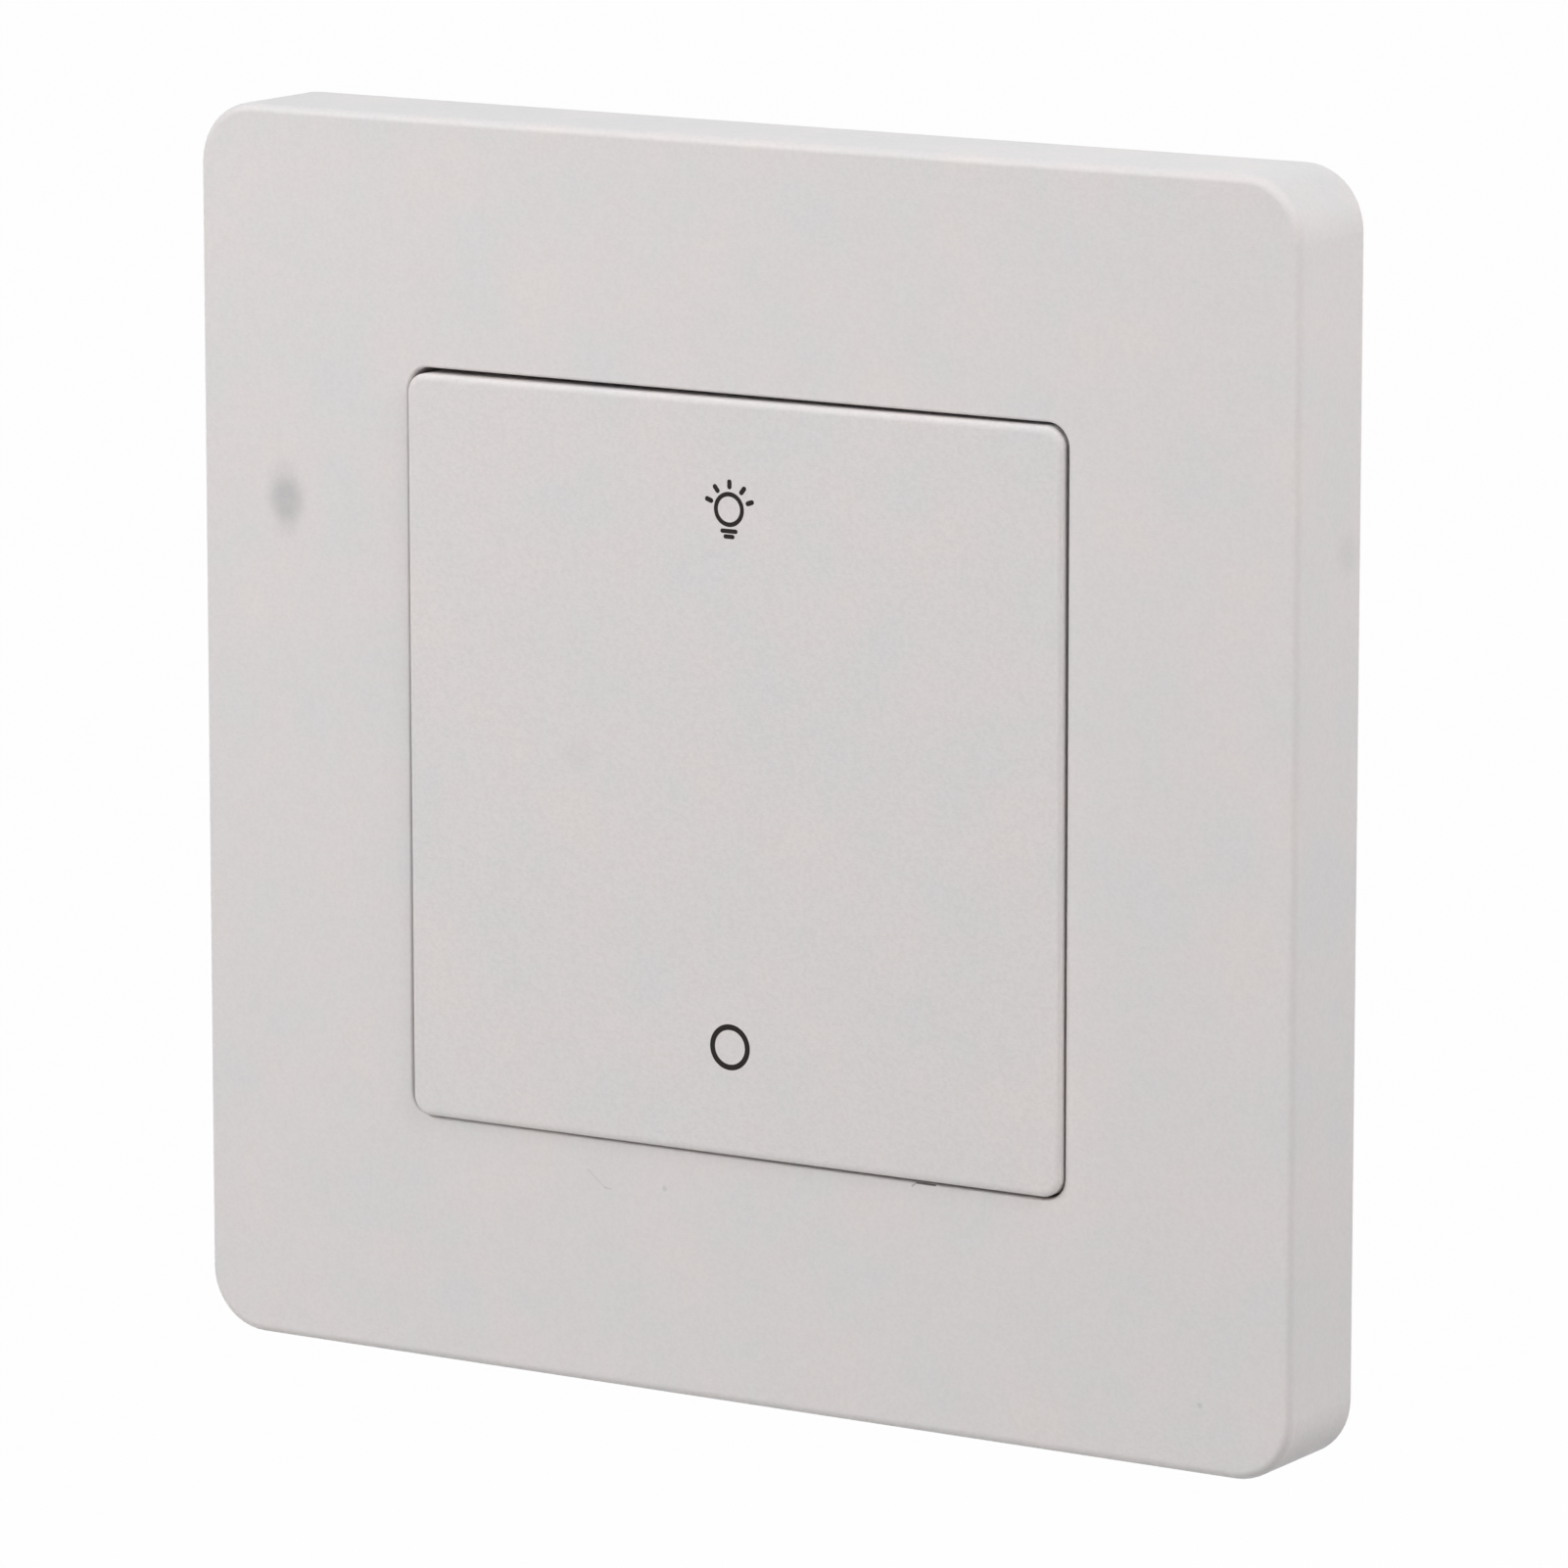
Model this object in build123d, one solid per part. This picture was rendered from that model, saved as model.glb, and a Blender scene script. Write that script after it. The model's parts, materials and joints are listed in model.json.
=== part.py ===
from build123d import *
import os
from math import radians, sin

# Square wall dimmer switch, in millimetres. X runs right, Z up, and the front faces -Y.
# The origin is the centre of the wall plane: the frame stands before it, the module lies behind it.

# Front frame
plate_size = 86.0
plate_depth = 8.3
plate_corner = 4.25
plate_edge = 0.6
face_wall = 2.2
side_wall = 2.0
opening_edge = 0.2
lip_wall = 1.4
lip_depth = 2.0
frame_rib_wall = 1.2
frame_rib_height = 1.4
frame_rib_pitch = 24.0
pry_notch_width = 9.0
pry_notch_depth = 1.0

# Rocker, its pivots and the posts that press the switch stems
rocker_size = 51.3
rocker_corner = 1.35
rocker_edge = 0.5
rocker_proud = 0.5
rocker_gap = 0.25
rocker_sag = 0.06
rocker_wall = 1.6
rocker_tilt = 2.0
skirt_wall = 1.4
skirt_clearance = 0.6
rocker_rib_wall = 1.0
rocker_rib_height = 1.0
rocker_rib_offset = 9.0
pin_radius = 1.0
pin_clearance = 0.05
pin_chamfer = 0.3
lug_radius = 1.5
lug_wall = 2.0
lug_clearance = 0.3
ear_radius = 1.8
ear_wall = 2.0
ear_clearance = 0.5
ear_inset = 2.25
post_radius = 1.5

# Mounting bracket, folded from one sheet
bracket_sheet = 1.2
bracket_corner = 4.0
bracket_opening = 44.0
bracket_opening_corner = 3.0
bend_radius = 0.6
bend_overlap = 2.0
box_screw_spacing = 60.3
slot_radius = 2.2
slot_length = 8.0
flange_width = 40.0
flange_clearance = 0.8

# Clips that hold the frame to the bracket
clip_offset = 14.0
tab_width = 12.0
tab_clearance = 0.6
window_width = 8.0
window_height = 1.8
window_bridge = 1.2
finger_room = 4.0
finger_wall = 1.2
finger_width = 7.0
finger_gap = 0.4
finger_tail = 0.6
nub_reach = 0.9
nub_flat = 0.15
nub_clearance = 0.2

# Switch carrier and its screws
carrier_wall = 1.4
carrier_margin = 0.15
carrier_corner = 2.0
screw_radius = 1.45
screw_length = 8.0
screw_hole_clearance = 0.15
screw_pilot_clearance = 0.05
screw_head_radius = 2.7
screw_head_height = 1.7
screw_head_chamfer = 0.6
pilot_spare = 1.0

# Push switches and stems
stem_offset = 16.0
stem_radius = 1.7
stem_clearance = 0.1
stem_play = 0.05
stem_chamfer = 0.45
switch_size = 6.2
switch_height = 2.6
switch_chamfer = 0.8
switch_gap = 0.2
switch_bore_depth = 1.9
stem_end_clearance = 0.25

# Rear housing
housing_size = 50.0
housing_depth = 27.4
housing_wall = 1.6
housing_corner = 4.0
housing_edge = 1.2
column_inset = 7.5
column_neck_radius = 3.0
column_step = 1.2
column_base_step = 0.8
vent_width = 1.6
vent_length = 18.0
vent_pitch = 4.0
vent_count = 5
side_vent_length = 10.0
side_vent_start = 4.0

# Boards and what joins them
control_board_thickness = 1.2
power_board_thickness = 1.6
board_clearance = 0.4
board_hole_clearance = 0.2
chip_size = 7.0
chip_height = 1.0
chip_edge = 0.2
chip_offset = 10.0
radio_width = 16.0
radio_length = 20.0
radio_thickness = 0.8
radio_drop = 2.0
shield_margin = 1.5
shield_antenna_strip = 6.0
shield_height = 2.2
shield_corner = 0.8
shield_edge = 0.4
header_pin_count = 6
header_pin_pitch = 2.54
header_pin_size = 0.64
header_pin_clearance = 0.02
header_strip = 2.5
header_edge = 1.75

# Parts on the power board
headroom = 1.2
choke_inset = 6.5
choke_rise = 9.5
choke_flange_radius = 5.5
choke_winding_radius = 4.6
choke_flange_height = 1.2
storage_x = 14.0
storage_z = 2.0
storage_radius = 5.0
storage_groove = 0.5
storage_groove_height = 1.6
storage_edge = 0.6
film_x = -13.0
film_z = 5.0
film_width = 13.0
film_depth = 6.0
film_edge = 0.5
fuse_inset = 6.5
fuse_rise = 8.5
fuse_radius = 4.2
fuse_edge = 0.6
varistor_rise = 7.5
varistor_thickness = 3.6
varistor_edge = 1.0
varistor_stand_off = 1.0
lead_size = 0.7
lead_pitch = 2.54
transformer_x = 1.0
transformer_z = 3.0
transformer_width = 10.0
transformer_depth = 9.0
transformer_yoke = 2.2
transformer_core_width = 5.0
transistor_gap = 1.6
transistor_thickness = 4.4
transistor_stand_off = 3.0
transistor_edge = 0.4
spreader_side_gap = 0.8
spreader_wall = 1.5
spreader_foot = 2.4
spreader_edge_gap = 0.3

# Terminals
terminal_count = 3
terminal_pitch = 7.6
terminal_end_wall = 0.6
terminal_block_height = 11.0
terminal_block_depth = 10.5
terminal_recess = 0.3
terminal_clearance = 0.2
wire_radius = 1.8
wire_entry_wall = 2.6
wire_spare = 0.2
clamp_width = 5.6
clamp_side_wall = 0.8
clamp_length = 6.0
clamp_floor = 1.4
clamp_roof = 1.2
clamp_clearance = 0.1
terminal_screw_radius = 1.5
terminal_screw_clearance = 0.05
terminal_head_radius = 2.5
terminal_head_height = 1.9
terminal_head_lift = 0.9
terminal_well_clearance = 0.2
driver_slot_width = 0.8
driver_slot_depth = 0.9

# Smallest corner left inside a thin wall, and how far cutters run past a face
least_corner = 0.3
cut_spare = 1.0

# Planes from the front to the back
wall_y = 0.0
face_y = -plate_depth
inner_face_y = face_y + face_wall
lip_end_y = inner_face_y + lip_depth
frame_rib_end_y = inner_face_y + frame_rib_height
rocker_front_y = face_y - rocker_proud
rocker_inner_y = rocker_front_y + rocker_wall
carrier_back_y = wall_y - bracket_sheet
carrier_front_y = carrier_back_y - carrier_wall
rocker_swing = rocker_size / 2 * sin(radians(rocker_tilt))
skirt_end_y = carrier_front_y - rocker_swing - skirt_clearance
pivot_y = rocker_inner_y + ear_clearance + ear_radius
stem_travel = stem_offset * sin(radians(rocker_tilt))
stem_tip_y = pivot_y + stem_play
switch_front_y = carrier_back_y + switch_gap
switch_bore_end_y = switch_front_y + switch_bore_depth
stem_back_y = switch_bore_end_y - stem_travel - stem_end_clearance
control_front_y = switch_front_y + switch_height
control_back_y = control_front_y + control_board_thickness
radio_back_y = control_back_y + radio_thickness
shield_back_y = radio_back_y + shield_height
housing_back_y = wall_y + housing_depth
housing_floor_y = housing_back_y - housing_wall
terminal_back_y = housing_back_y - terminal_recess
power_back_y = terminal_back_y - terminal_block_depth
power_front_y = power_back_y - power_board_thickness
tall_top_y = control_back_y + headroom
low_top_y = shield_back_y + headroom
screw_end_y = carrier_front_y + screw_length

# Widths that follow from the ones above
cavity_size = plate_size - 2 * side_wall
opening_size = rocker_size + 2 * rocker_gap
lip_size = opening_size + 2 * lip_wall
bracket_size = cavity_size - 2 * finger_room
bracket_sheet_size = bracket_size - 2 * (bend_radius + bracket_sheet)
tab_tip_y = inner_face_y + tab_clearance
flange_tip_y = frame_rib_end_y + flange_clearance
window_front_y = tab_tip_y + window_bridge
window_back_y = window_front_y + window_height
carrier_size = rocker_size - 2 * carrier_margin
ear_outer_x = rocker_size / 2 - skirt_wall - ear_inset
ear_inner_x = ear_outer_x - ear_wall
lug_outer_x = ear_inner_x - lug_clearance
lug_inner_x = lug_outer_x - lug_wall
column_offset = housing_size / 2 - column_inset
column_middle_radius = column_neck_radius + column_step
column_base_radius = column_middle_radius + column_base_step
column_spots = [(x, z) for x in (-column_offset, column_offset) for z in (-column_offset, column_offset)]
board_size = housing_size - 2 * (housing_wall + board_clearance)
header_drop = board_size / 2 - header_edge - header_strip / 2
choke_x = choke_inset - column_offset
choke_z = choke_rise - column_offset
fuse_x = column_offset - fuse_inset
fuse_z = fuse_rise - column_offset
varistor_x = (choke_x + choke_flange_radius + fuse_x - fuse_radius) / 2
varistor_z = varistor_rise - column_offset
spreader_width = 2 * (column_offset - column_middle_radius - spreader_side_gap)
spreader_face_z = board_size / 2 - spreader_edge_gap - spreader_foot - spreader_wall
transistor_width = (spreader_width - 3 * transistor_gap) / 2
transistor_x = (transistor_width + transistor_gap) / 2
terminal_block_width = terminal_count * terminal_pitch + 2 * terminal_end_wall
terminal_bottom_z = -housing_size / 2
terminal_top_z = terminal_bottom_z + terminal_block_height
terminal_spots = [(i - (terminal_count - 1) / 2) * terminal_pitch for i in range(terminal_count)]
wire_y = power_back_y + clamp_floor + wire_spare + wire_radius
clamp_window_top_y = wire_y + wire_radius + wire_spare
clamp_top_y = clamp_window_top_y + clamp_roof
clamp_front_z = terminal_bottom_z + wire_entry_wall + clamp_clearance
clamp_middle_z = clamp_front_z + clamp_length / 2


def slab(outline, front, back):
    """Thicken an outline drawn in X and Z from one Y plane to another."""
    return extrude(Plane.XZ.offset(-back) * outline, amount=back - front)


def rounded_square(size, corner):
    return RectangleRounded(size, size, max(corner, least_corner))


def disc(x, z, radius):
    return Pos(x, z) * Circle(radius)


def block(x, z, width, height):
    return Pos(x, z) * Rectangle(width, height)


def span(low, high, other_low, other_high):
    """Rectangle between two pairs of limits in a sketch."""
    centre = Pos((low + high) / 2, (other_low + other_high) / 2)
    return centre * Rectangle(high - low, other_high - other_low)


def front_edges(shape):
    return shape.faces().sort_by(Axis.Y)[0].outer_wire().edges()


def back_edges(shape):
    return shape.faces().sort_by(Axis.Y)[-1].outer_wire().edges()


def both_sides(shape):
    """The shape and its mirror image across the middle of the switch."""
    return shape + mirror(shape, about=Plane.YZ)


# Front frame: shell, lip round the rocker, ribs and four snap fingers
def snap_finger():
    inner_x = bracket_size / 2 + finger_gap
    outer_x = inner_x + finger_wall
    nub_x = bracket_size / 2 - nub_reach
    nub_front_y = window_front_y + nub_clearance
    nub_back_y = window_back_y - nub_clearance
    outline = Polyline(
        (outer_x, inner_face_y),
        (outer_x, window_back_y + finger_tail),
        (inner_x, window_back_y + finger_tail),
        (inner_x, nub_back_y),
        (nub_x, nub_front_y + 2 * nub_flat),
        (nub_x, nub_front_y + nub_flat),
        (inner_x, nub_front_y),
        (inner_x, inner_face_y),
        close=True,
    )
    return extrude(make_face(outline), amount=finger_width / 2, both=True)


def frame_ribs():
    """Three ribs on each side of the opening, between the lip and the side wall."""
    from_x = opening_size / 2 + lip_wall / 2
    to_x = cavity_size / 2 + side_wall / 2
    one_side = Sketch()
    for z in (-frame_rib_pitch, 0, frame_rib_pitch):
        one_side += span(from_x, to_x, z - frame_rib_wall / 2, z + frame_rib_wall / 2)
    ribs = slab(one_side, inner_face_y, frame_rib_end_y)
    return [Rot(0, turn, 0) * ribs for turn in (0, 90, 180, 270)]


def build_front_frame():
    frame = slab(rounded_square(plate_size, plate_corner), face_y, wall_y)
    frame = fillet(front_edges(frame), plate_edge)
    frame -= slab(rounded_square(cavity_size, plate_corner - side_wall), inner_face_y, wall_y)
    frame += slab(rounded_square(lip_size, rocker_corner + rocker_gap + lip_wall), inner_face_y, lip_end_y)
    for ribs in frame_ribs():
        frame += ribs
    frame -= slab(rounded_square(opening_size, rocker_corner + rocker_gap), face_y, lip_end_y)
    opening_rim = frame.faces().sort_by(Axis.Y)[0].inner_wires()[0].edges()
    frame = fillet(opening_rim, opening_edge)
    for z in (-clip_offset, clip_offset):
        frame += both_sides(Pos(0, 0, z) * snap_finger())
    notch = block(0, -plate_size / 2, pry_notch_width, 2 * side_wall + cut_spare)
    return frame - slab(notch, wall_y - pry_notch_depth, wall_y)


# Rocker: shallow cap with pivot lugs and switch posts inside
def pivot_lug():
    body = disc(pivot_y, 0, lug_radius) + span(rocker_inner_y, pivot_y, -lug_radius, lug_radius)
    lug = extrude(Plane.YZ.offset(lug_inner_x) * body, amount=lug_wall)
    pin_length = ear_outer_x - lug_outer_x
    pin = extrude(Plane.YZ.offset(lug_outer_x) * disc(pivot_y, 0, pin_radius), amount=pin_length)
    pin = chamfer(pin.faces().sort_by(Axis.X)[-1].edges(), pin_chamfer)
    return lug + pin


def build_rocker_cap():
    """The cap hangs a little low in its opening; its pivots and posts are level with the switches."""
    seat = Pos(0, -rocker_sag)
    cap = slab(seat * rounded_square(rocker_size, rocker_corner), rocker_front_y, skirt_end_y)
    cap = fillet(front_edges(cap), rocker_edge)
    hollow_size = rocker_size - 2 * skirt_wall
    cap -= slab(seat * rounded_square(hollow_size, rocker_corner - skirt_wall), rocker_inner_y, skirt_end_y)
    ribs = Sketch()
    for x in (-rocker_rib_offset, rocker_rib_offset):
        ribs += block(x, 0, rocker_rib_wall, hollow_size + skirt_wall)
    cap += slab(ribs, rocker_inner_y, rocker_inner_y + rocker_rib_height)
    cap += both_sides(pivot_lug())
    for z in (-stem_offset, stem_offset):
        cap += slab(disc(0, z, post_radius), rocker_inner_y, pivot_y)
    return cap


# Mounting bracket: flat sheet, clip tabs at the sides, stiffening flanges above and below
def folded_edge(width, tip_y):
    outer_x = bracket_size / 2
    inner_x = outer_x - bracket_sheet
    root_x = bracket_sheet_size / 2 - bend_overlap
    outline = Polyline(
        (root_x, wall_y),
        (outer_x, wall_y),
        (outer_x, tip_y),
        (inner_x, tip_y),
        (inner_x, carrier_back_y),
        (root_x, carrier_back_y),
        close=True,
    )
    profile = make_face(outline)
    outer_bend = profile.vertices().sort_by_distance((outer_x, wall_y, 0))[0]
    profile = fillet(outer_bend, bend_radius + bracket_sheet)
    inner_bend = profile.vertices().sort_by_distance((inner_x, carrier_back_y, 0))[0]
    profile = fillet(inner_bend, bend_radius)
    return extrude(profile, amount=width / 2, both=True)


def clip_tab():
    tab = folded_edge(tab_width, tab_tip_y)
    window = span(window_front_y, window_back_y, -window_width / 2, window_width / 2)
    return tab - extrude(Plane.YZ.offset(bracket_sheet_size / 2) * window, amount=bracket_size / 2)


def build_mounting_bracket():
    outline = rounded_square(bracket_sheet_size, bracket_corner)
    outline -= rounded_square(bracket_opening, bracket_opening_corner)
    for sign in (-1, 1):
        along_x = Pos(sign * box_screw_spacing / 2, 0) * SlotOverall(slot_length, 2 * slot_radius)
        outline -= along_x
        outline -= Rot(0, 0, 90) * along_x
    bracket = slab(outline, carrier_back_y, wall_y)
    for z in (-clip_offset, clip_offset):
        bracket += both_sides(Pos(0, 0, z) * clip_tab())
    for turn in (90, -90):
        bracket += Rot(0, turn, 0) * folded_edge(flange_width, flange_tip_y)
    return bracket


# Switch carrier: plate on the bracket with two pivot ears
def pivot_ear():
    body = disc(pivot_y, 0, ear_radius) + span(pivot_y, carrier_front_y, -ear_radius, ear_radius)
    body -= disc(pivot_y, 0, pin_radius + pin_clearance)
    return extrude(Plane.YZ.offset(ear_inner_x) * body, amount=ear_wall)


def build_switch_carrier():
    outline = rounded_square(carrier_size, carrier_corner)
    for z in (-stem_offset, stem_offset):
        outline -= disc(0, z, stem_radius + stem_clearance)
    for x, z in column_spots:
        outline -= disc(x, z, screw_radius + screw_hole_clearance)
    lug_window = span(
        lug_inner_x - lug_clearance, ear_inner_x, -lug_radius - lug_clearance, lug_radius + lug_clearance
    )
    outline -= lug_window
    outline -= mirror(lug_window, about=Plane.YZ)
    carrier = slab(outline, carrier_front_y, carrier_back_y)
    return carrier + both_sides(pivot_ear())


def build_carrier_screws():
    head = slab(disc(0, 0, screw_head_radius), carrier_front_y - screw_head_height, carrier_front_y)
    head = chamfer(front_edges(head), screw_head_chamfer)
    screw = head + slab(disc(0, 0, screw_radius), carrier_front_y, screw_end_y)
    return Compound([Pos(x, 0, z) * screw.solid() for x, z in column_spots])


# Rear housing: cup with stepped columns for both boards, vents and a bay for the terminals
def stepped_column():
    column = slab(Circle(column_neck_radius), carrier_back_y, control_back_y)
    column += slab(Circle(column_middle_radius), control_back_y, power_back_y)
    column += slab(Circle(column_base_radius), power_back_y, housing_floor_y)
    pilot_radius = screw_radius + screw_pilot_clearance
    return column - slab(Circle(pilot_radius), carrier_back_y, screw_end_y + pilot_spare)


def vent_rows():
    return [(i - (vent_count - 1) / 2) * vent_pitch for i in range(vent_count)]


def build_rear_housing():
    housing = slab(rounded_square(housing_size, housing_corner), wall_y, housing_back_y)
    housing = chamfer(back_edges(housing), housing_edge)
    hollow_size = housing_size - 2 * housing_wall
    housing -= slab(rounded_square(hollow_size, housing_corner - housing_wall), wall_y, housing_floor_y)
    for x, z in column_spots:
        housing += Pos(x, 0, z) * stepped_column()
    bay_half = terminal_block_width / 2 + terminal_clearance
    bay = span(-bay_half, bay_half, terminal_bottom_z - cut_spare, terminal_top_z + terminal_clearance)
    housing -= slab(bay, power_back_y, housing_back_y)
    rear_vents = Sketch()
    side_vents = Sketch()
    vent_middle_z = (terminal_top_z + housing_size / 2) / 2
    side_vent_middle_y = side_vent_start + side_vent_length / 2
    for row in vent_rows():
        rear_vents += Pos(0, vent_middle_z + row) * SlotOverall(vent_length, vent_width)
        side_vents += Pos(side_vent_middle_y, row) * SlotOverall(side_vent_length, vent_width)
    housing -= slab(rear_vents, housing_floor_y, housing_back_y)
    side_cut = extrude(Plane.YZ.offset(hollow_size / 2) * side_vents, amount=housing_wall)
    return housing - both_sides(side_cut)


# Boards, push switches and the parts on the control board
def board(thickness_front, thickness_back, hole_radius):
    outline = rounded_square(board_size, housing_corner - housing_wall - board_clearance)
    for x, z in column_spots:
        outline -= disc(x, z, hole_radius + board_hole_clearance)
    return slab(outline, thickness_front, thickness_back)


def build_control_board():
    return board(control_front_y, control_back_y, column_neck_radius)


def build_power_board():
    return board(power_front_y, power_back_y, column_middle_radius)


def build_control_chip():
    outline = block(-chip_offset, 0, chip_size, chip_size)
    chip = slab(outline, control_front_y - chip_height, control_front_y)
    return chamfer(front_edges(chip), chip_edge)


def build_push_switch(z):
    body = slab(Rectangle(switch_size, switch_size), switch_front_y, control_front_y)
    body = chamfer(body.edges().filter_by(Axis.Y), switch_chamfer)
    body -= slab(Circle(stem_radius + stem_clearance), switch_front_y, switch_bore_end_y)
    return Pos(0, 0, z) * body


def build_switch_stem(z):
    stem = slab(Circle(stem_radius), stem_tip_y, stem_back_y)
    stem = chamfer(front_edges(stem), stem_chamfer)
    return Pos(0, 0, z) * stem


def build_radio_board():
    return slab(block(0, -radio_drop, radio_width, radio_length), control_back_y, radio_back_y)


def build_radio_shield():
    width = radio_width - 2 * shield_margin
    length = radio_length - shield_margin - shield_antenna_strip
    middle_z = -radio_drop + radio_length / 2 - shield_margin - length / 2
    outline = Pos(0, middle_z) * RectangleRounded(width, length, shield_corner)
    can = slab(outline, radio_back_y, shield_back_y)
    return chamfer(back_edges(can), shield_edge)


def header_spots():
    middle = (header_pin_count - 1) / 2
    return [(i - middle) * header_pin_pitch for i in range(header_pin_count)]


def build_board_header():
    strip = block(0, -header_drop, header_pin_count * header_pin_pitch, header_strip)
    hole_size = header_pin_size + 2 * header_pin_clearance
    for x in header_spots():
        strip -= block(x, -header_drop, hole_size, hole_size)
    return slab(strip, control_back_y, control_back_y + header_strip)


def build_header_pins():
    pins = []
    for x in header_spots():
        outline = block(x, -header_drop, header_pin_size, header_pin_size)
        pins.append(slab(outline, control_back_y, power_front_y).solid())
    return Compound(pins)


# Parts on the power board, standing on its front face
def turned(points, x, z):
    """Solid of revolution standing at x, z, from radius and Y pairs."""
    profile = make_face(Polyline(*points, close=True))
    return Pos(x, 0, z) * revolve(profile, Axis.Y)


def build_filter_choke():
    points = [
        (0, low_top_y),
        (choke_flange_radius, low_top_y),
        (choke_flange_radius, low_top_y + choke_flange_height),
        (choke_winding_radius, low_top_y + choke_flange_height),
        (choke_winding_radius, power_front_y - choke_flange_height),
        (choke_flange_radius, power_front_y - choke_flange_height),
        (choke_flange_radius, power_front_y),
        (0, power_front_y),
    ]
    return turned(points, choke_x, choke_z)


def build_storage_capacitor():
    groove_y = power_front_y - storage_groove_height
    points = [
        (0, tall_top_y),
        (storage_radius - storage_edge, tall_top_y),
        (storage_radius, tall_top_y + storage_edge),
        (storage_radius, groove_y - storage_groove),
        (storage_radius - storage_groove, groove_y),
        (storage_radius, groove_y + storage_groove),
        (storage_radius, power_front_y),
        (0, power_front_y),
    ]
    return turned(points, storage_x, storage_z)


def build_film_capacitor():
    box = slab(block(film_x, film_z, film_width, film_depth), low_top_y, power_front_y)
    box = chamfer(box.edges().filter_by(Axis.Y), film_edge)
    return chamfer(front_edges(box), film_edge)


def build_mains_fuse():
    can = slab(disc(fuse_x, fuse_z, fuse_radius), low_top_y, power_front_y)
    return chamfer(front_edges(can), fuse_edge)


def build_surge_varistor():
    radius = (power_front_y - low_top_y - varistor_stand_off) / 2
    middle_y = low_top_y + radius
    body = extrude(Plane.YZ * disc(middle_y, 0, radius), amount=varistor_thickness / 2, both=True)
    body = chamfer(body.edges(), varistor_edge)
    leads = block(0, -lead_pitch, lead_size, lead_size) + block(0, lead_pitch, lead_size, lead_size)
    body += slab(leads, middle_y, power_front_y)
    return Pos(varistor_x, 0, varistor_z) * body


def build_supply_transformer():
    yoke = block(0, 0, transformer_core_width, transformer_depth)
    core = slab(yoke, low_top_y, power_front_y)
    winding = block(0, 0, transformer_width, transformer_depth - 2 * transformer_yoke)
    core += slab(winding, low_top_y + transformer_yoke, power_front_y - transformer_yoke)
    flange = Rectangle(transformer_width, transformer_depth)
    core += slab(flange, power_front_y - transformer_yoke, power_front_y)
    return Pos(transformer_x, 0, transformer_z) * core


def build_dimmer_transistors():
    middle_z = spreader_face_z - transistor_thickness / 2
    body = block(0, 0, transistor_width, transistor_thickness)
    transistor = slab(body, tall_top_y, power_front_y - transistor_stand_off)
    transistor = chamfer(front_edges(transistor), transistor_edge)
    leads = Sketch()
    for x in (-lead_pitch, 0, lead_pitch):
        leads += block(x, 0, lead_size, lead_size)
    transistor += slab(leads, power_front_y - transistor_stand_off, power_front_y)
    return Compound([Pos(x, 0, middle_z) * transistor.solid() for x in (-transistor_x, transistor_x)])


def build_heat_spreader():
    back_z = spreader_face_z + spreader_wall
    profile = span(tall_top_y, power_front_y, spreader_face_z, back_z)
    profile += span(power_front_y - spreader_wall, power_front_y, spreader_face_z, back_z + spreader_foot)
    return extrude(Plane.YZ * profile, amount=spreader_width / 2, both=True)


# Terminals: moulded block, brass clamps and screws that face the back
def build_terminal_block():
    half = terminal_block_width / 2
    body = slab(span(-half, half, terminal_bottom_z, terminal_top_z), power_back_y, terminal_back_y)
    room = clamp_width + 2 * clamp_clearance
    for x in terminal_spots:
        pocket = block(x, clamp_middle_z, room, clamp_length + 2 * clamp_clearance)
        body -= slab(pocket, power_back_y, clamp_top_y + clamp_clearance)
        well = disc(x, clamp_middle_z, terminal_head_radius + terminal_well_clearance)
        body -= slab(well, clamp_top_y, terminal_back_y)
        wire_entry = Plane.XY.offset(terminal_bottom_z) * disc(x, wire_y, wire_radius)
        body -= extrude(wire_entry, amount=wire_entry_wall)
    return body


def build_terminal_clamps():
    cage = slab(Rectangle(clamp_width, clamp_length), power_back_y, clamp_top_y)
    window_low = power_back_y + clamp_floor
    window_half = clamp_width / 2 - clamp_side_wall
    window = span(-window_half, window_half, window_low, clamp_window_top_y)
    cage -= extrude(window, amount=clamp_length / 2, both=True)
    cage -= slab(Circle(terminal_screw_radius + terminal_screw_clearance), clamp_window_top_y, clamp_top_y)
    return Compound([Pos(x, 0, clamp_middle_z) * cage.solid() for x in terminal_spots])


def build_terminal_screws():
    seat_y = clamp_top_y + terminal_head_lift
    head_top_y = seat_y + terminal_head_height
    screw = slab(Circle(terminal_screw_radius), clamp_window_top_y, seat_y)
    screw += slab(Circle(terminal_head_radius), seat_y, head_top_y)
    slot = Rectangle(2 * terminal_head_radius + cut_spare, driver_slot_width)
    screw -= slab(slot, head_top_y - driver_slot_depth, head_top_y)
    return Compound([Pos(x, 0, clamp_middle_z) * screw.solid() for x in terminal_spots])


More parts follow.
